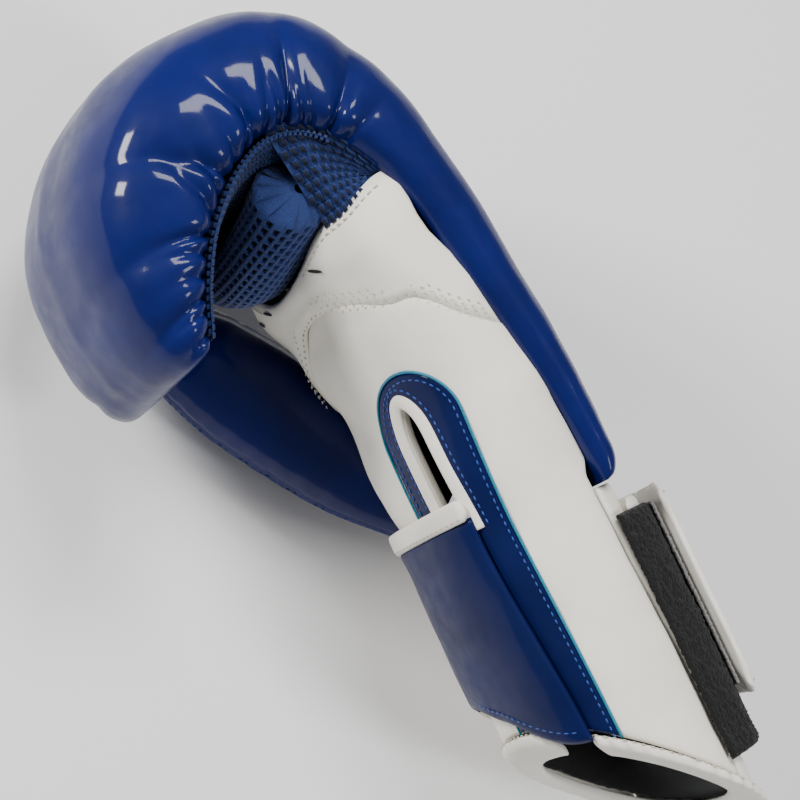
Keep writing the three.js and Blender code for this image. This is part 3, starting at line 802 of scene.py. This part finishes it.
# Foam blown up under its cover: cloth with air pressure inside, each point moved no further than cap (in mm)
def plump(piece, voxel, cap, pressure=4):
    scene = bpy.context.scene
    remesh = piece.modifiers.new("remesh", "REMESH")
    remesh.mode = "VOXEL"
    remesh.voxel_size = voxel * mm
    remesh.use_smooth_shade = True
    bpy.context.view_layer.objects.active = piece
    bpy.ops.object.modifier_apply(modifier="remesh")
    before = [vertex.co.copy() for vertex in piece.data.vertices]
    cloth = piece.modifiers.new("cloth", "CLOTH")
    cloth.settings.use_pressure = True
    cloth.settings.uniform_pressure_force = pressure
    cloth.settings.effector_weights.gravity = 0
    for step in range(1, 21):
        scene.frame_set(step)
    swollen = piece.evaluated_get(bpy.context.evaluated_depsgraph_get())
    after = [vertex.co.copy() for vertex in swollen.data.vertices]
    piece.modifiers.remove(cloth)
    scene.frame_set(1)
    for vertex, start, stop in zip(piece.data.vertices, before, after):
        move = stop - start
        if move.length > cap * mm:
            move = move.normalized() * cap * mm
        vertex.co = start + move
    smooth = piece.modifiers.new("rounding", "SUBSURF")
    smooth.levels = smooth.render_levels = 1


# cuff: padding and dark lining, rolled rim, padded back under the loop panel
cuff = {"rimStitchPitch": 3.0, "paddingLow": -7.9, "paddingHigh": -1.9, "quiltPitch": 13, "pileHeight": 0.55}


def quilted(x, angle, rise):
    return -0.9 * (1 - rise) * 0.5 * math.exp(-((x % cuff["quiltPitch"] - cuff["quiltPitch"] / 2) / 1.6) ** 2)


padding = sleeveRoll("cuffPadding", {
    "from": aboveRim, "to": 79, "first": 76, "last": 406,
    "low": cuff["paddingLow"], "high": cuff["paddingHigh"], "power": 5, "stepsU": 150, "stepsV": 72,
    "shape": quilted},
    ["liningCloth"], "glove_body", ("cuff_foam", "cuff_lining"))
plump(padding, 2.2, 0.8)


def rimPucker(x, angle, rise):
    return 0.35 * math.sin(math.radians(angle) * 46) * (0.5 + 0.5 * rise)


rim = sleeveRoll("cuffBinding", {
    "from": rimX, "to": lambda angle, lift: rimX(angle, lift) + 5, "first": 75, "last": 407,
    "low": -8.2, "high": 1.4, "power": 3.2, "stepsU": 300, "stepsV": 28, "sag": 0.35,
    "shape": rimPucker, "endTaper": 0.008},
    ["whiteBinding"], "glove_body", ("cuff_binding",))
bm = bmesh.new()
line = sleeveLine(lambda t: (rimX(mix(78, 404, t), 1.4) + 4.1, mix(78, 404, t)), 200, 1.35)
addStitches(bm, line, cuff["rimStitchPitch"], 0.3, awayFromWrist)
finishPiece(bm, "cuffStitches", ["ivoryThread"], "glove_body")

backRise = [(296, 5.6), (334, 1)]
backCushion = sleeveRoll("backPad", {
    "from": lambda angle, lift: max(-15, aboveRim(angle, lift) + 2) + 1, "to": 76, "first": 229, "last": 333,
    "low": 0.6, "high": lambda angle: ease(backRise, angle) - 0.4, "power": 4, "stepsU": 70, "stepsV": 60,
    "endTaper": 0.06}, ["ivoryLeather"], "glove_body", ("back_pad",))
plump(backCushion, 2.5, 0.9)


def pileFuzz(x, angle, *_):
    spot = sleevePoint(x, angle)
    return cuff["pileHeight"] * (noise.noise(spot / 0.9) + 0.6 * noise.noise(spot / 2.3))


sleeveSheet("loopPanel", {
    "from": lambda angle, lift: max(-13, aboveRim(angle, lift) + 1), "to": 70, "first": 230, "last": 338,
    "lift": lambda angle: ease(backRise, angle) + 2.1, "thickness": 1.7, "pitch": 0.7,
    "tuck": 1.1, "tuckRadius": 2, "sag": 0.5, "shape": pileFuzz}, ["loopPile"], "glove_body",
    ("loop_panel",))
print("cuff made")


# air mesh: knitted cells laid as staggered hexagons, each with a sunk hole whose floor is painted near-black
# as shade
mesh = {"pitch": 3.7, "web": 0.86, "sink": 0.9, "thickness": 1.4}


def airMesh(name, place, lengthU, lengthV, body, replaced, holedTo=99):
    columns = max(6, round(lengthU / (mesh["pitch"] / 2)))
    columns += columns % 2
    rows = max(4, round(lengthV / (mesh["pitch"] * 0.87)))
    bm = laidGrid(place, columns, rows)
    where = {(index % columns, index // columns): face for index, face in enumerate(bm.faces)}
    gone = []
    for (i, j), face in where.items():
        if i % 2 == j % 2 and (i + 1, j) in where:
            gone.extend(set(face.edges) & set(where[(i + 1, j)].edges))
    bmesh.ops.dissolve_edges(bm, edges=gone, use_verts=False)
    cells = [face for face in bm.faces
             if len(face.verts) > 4 and abs(face.calc_center_median().z) < holedTo]
    bmesh.ops.inset_individual(bm, faces=cells, thickness=mesh["web"] * 0.55, depth=0.12)
    bmesh.ops.inset_individual(bm, faces=cells, thickness=mesh["web"] * 0.3, depth=-0.2)
    bmesh.ops.inset_individual(bm, faces=cells, thickness=0.05, depth=-mesh["sink"])
    # the sunk hole floors take the near-black material: painted shade in the holes
    for face in cells:
        face.material_index = 1
    bmesh.ops.remove_doubles(bm, verts=bm.verts, dist=0.02)
    return finishPiece(bm, name, ["airMesh", "meshHoleShade"], body, replaced)


def liningStrip(u, v):
    along = mix(0.43, 0.99, u)
    front = v < 0.5
    across = 4 * v - 1 if front else 3 - 4 * v
    edge, outward, _, _, edgeHalf = padFrame(along)
    bulge = ease([(0.44, 3), (0.57, 11), (0.68, 6), (0.9, 3)], along) * (1 - across * across)
    back = 0 if front else mesh["thickness"] * min(1, 6 * (1 - abs(across)))
    point = edge - outward * (1.6 + bulge - back + 0.5 * math.sin(along * 60) * (1 - across * across))
    point.z = across * (edgeHalf + 1.5)
    return point


def gripCover(u, v):
    share = abs(2 * u - 1) ** 1.6
    rows = []
    middleRows = [(179, 40), (179, 50), (184, 57.5), (193, 58.5), (200, 52), (201, 43), (190, 36), (179, 40)]
    endRows = [(196, 24), (191, 33), (192, 44), (201, 51), (210, 48), (212, 42), (206, 30), (196, 24)]
    for (mx, my), (ex, ey) in zip(middleRows, endRows):
        rows.append((mix(mx, ex, share), mix(my, ey, share)))
    x, y = curveThrough(rows, v)
    closing = max(0.0, (abs(2 * u - 1) - 0.93) / 0.07)
    shrink = math.sqrt(max(0, 1 - closing ** 2)) * 0.85 + 0.15
    cx, cy = sum(r[0] for r in rows) / 8, sum(r[1] for r in rows) / 8
    x, y = mix(cx, x, shrink), mix(cy, y, shrink)
    return Vector((x + wrist["opening"], y, mix(-42, 42, u)))


airMesh("fingerMesh", liningStrip, 150, 200, "glove_body", ("finger_mesh",))
for side in (-1, 1):
    def gusset(u, v, side=side):
        angle = mix(-9, 46, u) if side > 0 else 180 - mix(-9, 46, u)
        start = sleevePoint(meshEdge(angle) - 3, angle, -0.6)
        edge, outward, _, _, edgeHalf = padFrame(mix(0.3, 0.6, u))
        stop = edge + outward * 1.5
        stop.z = side * (edgeHalf + 1)
        point = start.lerp(stop, v)
        dip = 5.5 * math.sin(math.pi * v) * math.sin(math.pi * min(1, u + 0.25))
        return point - Vector((0.2, 0.1, side)) * dip

    airMesh("sideMesh" + ("Low" if side < 0 else "High"), gusset, 44, 30, "glove_body", ())
grip = airMesh("palmMesh", gripCover, 98, 76, "glove_body", ("palm_mesh", "grip_roll"), 38.5)
print("mesh made")


# strap: blue flap over the slit, white run round the thumb side, thick free end with its hook patch
strap = {"corner": 134, "turn": 212, "tip": 303, "rootFrom": (10, 43), "rootTo": (88, 53)}


def strapLow(angle, *_):
    return ease([(43, 11), (118, 33), (170, 22), (235, -0.5)], angle)


def strapHigh(angle, *_):
    return ease([(120, 88), (220, 75.5)], angle)


def strapRoot(x):
    return ease([strap["rootFrom"], strap["rootTo"]], x)


def strapTop(angle):
    return ease([(200, 4.4), (232, 14.0)], angle)


def strapDepth(angle):
    return ease([(200, 2.2), (232, 3.8)], angle)


def flapShape(x, angle, reachU, reachV, lengthU, lengthV):
    crown = 0.9 * math.sin(math.pi * min(1, max(0, reachU / lengthU)))
    pull = -0.8 * math.exp(-(reachV / 7) ** 2)
    return crown * 0.5 + pull + 0.3 * math.sin(reachV / 9 + x / 16)


sleeveSheet("strapFlap", {
    "from": strapLow, "to": lambda angle, lift: strapHigh(angle) + 0.6,
    "first": strapRoot, "last": strap["corner"] - 0.6, "lift": strapTop, "thickness": 2.0,
    "tuck": 1.1, "tuckRadius": 2.4, "sag": 0.4, "pitch": 1.2, "shape": flapShape},
    ["navyLeather"], "flap", ("strap_flap",))
points = []
for i in range(90):
    angle = mix(strapRoot(91), strap["corner"] - 1.5, i / 89)
    points.append(sleevePoint(strapHigh(angle) + 3.6, angle, strapTop(angle) - 0.7))
bm = sweptTape(points, [awayFromWrist(p) for p in points], roundTape(7.2, 3.0, 3), 20, endTaper=0.04)
finishPiece(bm, "flapBinding", ["whiteBinding"], "flap", ("flap_binding",))
bm = bmesh.new()
angles = [mix(56, 130, i / 60) for i in range(61)]
line = [sleevePoint(strapHigh(a) + 1.2, a, strapTop(a) + 0.72) for a in angles]
addStitches(bm, line, 2.8, 0.3, awayFromWrist)
finishPiece(bm, "flapBindingStitches", ["ivoryThread"], "flap")
bm = bmesh.new()
angles = [mix(48, 131, i / 60) for i in range(61)]
line = [sleevePoint(strapLow(a) + 4, a, strapTop(a) + 0.15) for a in angles]
addStitches(bm, line, 2.8, 0.3, awayFromWrist)
finishPiece(bm, "flapStitches", ["blueThread"], "flap")

sleeveSheet("strapSide", {
    "from": strapLow, "to": strapHigh, "first": strap["corner"] + 0.2, "last": strap["turn"] - 1,
    "lift": strapTop, "thickness": 2.0, "tuck": 1.0, "tuckRadius": 2.6, "sag": 0.4, "pitch": 1.5},
    ["ivoryLeather"], "strap_middle", ("strap_side",))


def endCorner(angle):
    away = max(0.0, (angle - (strap["tip"] - 9)) / 9)
    return 11 * (1 - math.sqrt(max(0, 1 - min(1, away) ** 2)))


strapEnd = sleeveRoll("strapEnd", {
    "from": lambda angle, lift: strapLow(angle) + 0.6 + endCorner(angle),
    "to": lambda angle, lift: strapHigh(angle) - 0.6 - endCorner(angle),
    "first": strap["turn"] + 0.4, "last": strap["tip"] - 0.6,
    "low": lambda angle: strapTop(angle) - strapDepth(angle) + 0.5,
    "high": lambda angle: strapTop(angle) - 0.5,
    "power": 5, "stepsU": 90, "stepsV": 80, "endTaper": 0.02, "sag": 0.35},
    ["whiteBinding"], "strap_tip", ("strap_end",))
plump(strapEnd, 1.5, 0.7)
bm = bmesh.new()
for near in (lambda a: strapLow(a) + 4.5 + endCorner(a), lambda a: strapHigh(a) - 4.5 - endCorner(a)):
    angles = [mix(216, strap["tip"] - 5, i / 80) for i in range(81)]
    addStitches(bm, [sleevePoint(near(a), a, strapTop(a) + 0.25) for a in angles], 3.0, 0.34, awayFromWrist)
finishPiece(bm, "strapStitches", ["ivoryThread"], "strap_tip")


def hookRows(x, angle, *_):
    return 0.35 * abs(math.sin(x * 2.1)) * abs(math.sin(angle * 1.7))


sleeveSheet("hookPatch", {
    "from": lambda angle, lift: strapLow(angle) + 6, "to": lambda angle, lift: strapHigh(angle) - 6,
    "first": 240, "last": strap["tip"] - 2, "lift": 9.5, "thickness": 1.2, "pitch": 0.9,
    "sag": 0.15, "tuck": 0.3,
    "shape": hookRows}, ["hookTape"], "strap_tip", ("hook_patch",))
print("strap made")


# thumb: padded outer half and flat inner half, joined by a topstitched seam, with white piping
thumb = {"radius": 21, "seamTurns": (4, 176), "creaseDepth": 1.1}
thumbRows = [(98, -4, -46), (120, 13, -53), (140, 27, -57), (158, 39, -59), (176, 50, -59), (194, 58, -58)]


def thumbRadius(along):
    tip = math.sqrt(max(0.0004, 1 - max(0, (along - 0.8) / 0.2) ** 2))
    return thumb["radius"] * tip * ease([(0, 0.86), (0.3, 1), (0.6, 0.97), (1, 0.8)], along)


def thumbPoint(along, turn, inset=0.0):
    centre = Vector(curveThrough(thumbRows, along))
    tangent = (Vector(curveThrough(thumbRows, min(1, along + 0.01)))
               - Vector(curveThrough(thumbRows, max(0, along - 0.01)))).normalized()
    down = (Vector((0, 0, -1)) + tangent * tangent.z).normalized()
    outward = -tangent.cross(down).normalized()
    angle = math.radians(turn)
    radius = max(0.05, thumbRadius(along) - inset)
    centre.x += wrist["opening"]
    return centre + outward * radius * math.cos(angle) + down * radius * math.sin(angle)


def thumbSeams(turn):
    return min(abs((turn - seam + 180) % 360 - 180) for seam in thumb["seamTurns"])


def thumbCover(u, v):
    turn = 360 * v + 90
    along = 1 - (1 - u) ** 1.25
    seam = thumb["creaseDepth"] * math.exp(-(thumbSeams(turn) / 5) ** 2)
    nearSeam = math.exp(-((thumbSeams(turn) - 9) / 11) ** 2)
    pleat = 0.35 * max(0, math.sin(along * 75)) * nearSeam * (0.2 < along < 0.95)
    flat = 0.0
    if 186 < turn % 360 < 354:
        flat = 5.5 * math.sin(math.radians((turn % 360 - 186) * 180 / 168)) * (1 - 0.5 * along)
    point = thumbPoint(along, turn, seam + pleat + flat)
    return point + Vector((0, 0, leatherNoise(point, 14, 0.5)))


bm = laidGrid(thumbCover, 170, 150)
bmesh.ops.remove_doubles(bm, verts=bm.verts, dist=0.01)
bmesh.ops.holes_fill(bm, edges=bm.edges, sides=0)
cover = finishPiece(bm, "thumbCover", ["blueLeather"], "thumb",
                    ("thumb_skin", "thumb_foam", "thumb_inner"))
points = [thumbPoint(mix(0.03, 0.96, i / 90), 2, 0.4) for i in range(91)]
bm = sweptTape(points, [thumbPoint(mix(0.03, 0.96, i / 90), 2) - thumbPoint(mix(0.03, 0.96, i / 90), 182)
                        for i in range(91)], roundTape(2.6, 2.6, 2), 12, endTaper=0.03)
finishPiece(bm, "thumbPiping", ["whiteBinding"], "thumb", ("thumb_piping",))
bm = bmesh.new()
for turn in (12, 168):
    points = [thumbPoint(mix(0.1, 0.9, i / 80), turn, 0.1) for i in range(81)]
    middle = Vector(curveThrough(thumbRows, 0.5)) + Vector((wrist["opening"], 0, 0))
    addStitches(bm, points, 2.7, 0.32, lambda p, m=middle: p - m)
finishPiece(bm, "thumbStitches", ["blueThread"], "thumb")
print("thumb made")


# lining of the hand's cavity, under the pad
def handLining(u, v):
    along = mix(0.02, 0.9, u)
    across = mix(-0.8, 0.8, v)
    edge, outward, thickness, _, edgeHalf = padFrame(along)
    hollow = 0.3 * thickness * (1 - across * across)
    point = edge + outward * (hollow - 0.9 + 0.25 * math.sin(along * 90))
    point.z = across * edgeHalf
    return point


bm = laidGrid(handLining, 110, 50)
bmesh.ops.solidify(bm, geom=bm.faces, thickness=1.1)
finishPiece(bm, "handLining", ["liningCloth"], "glove_body", ("hand_lining",))
print("lining made")
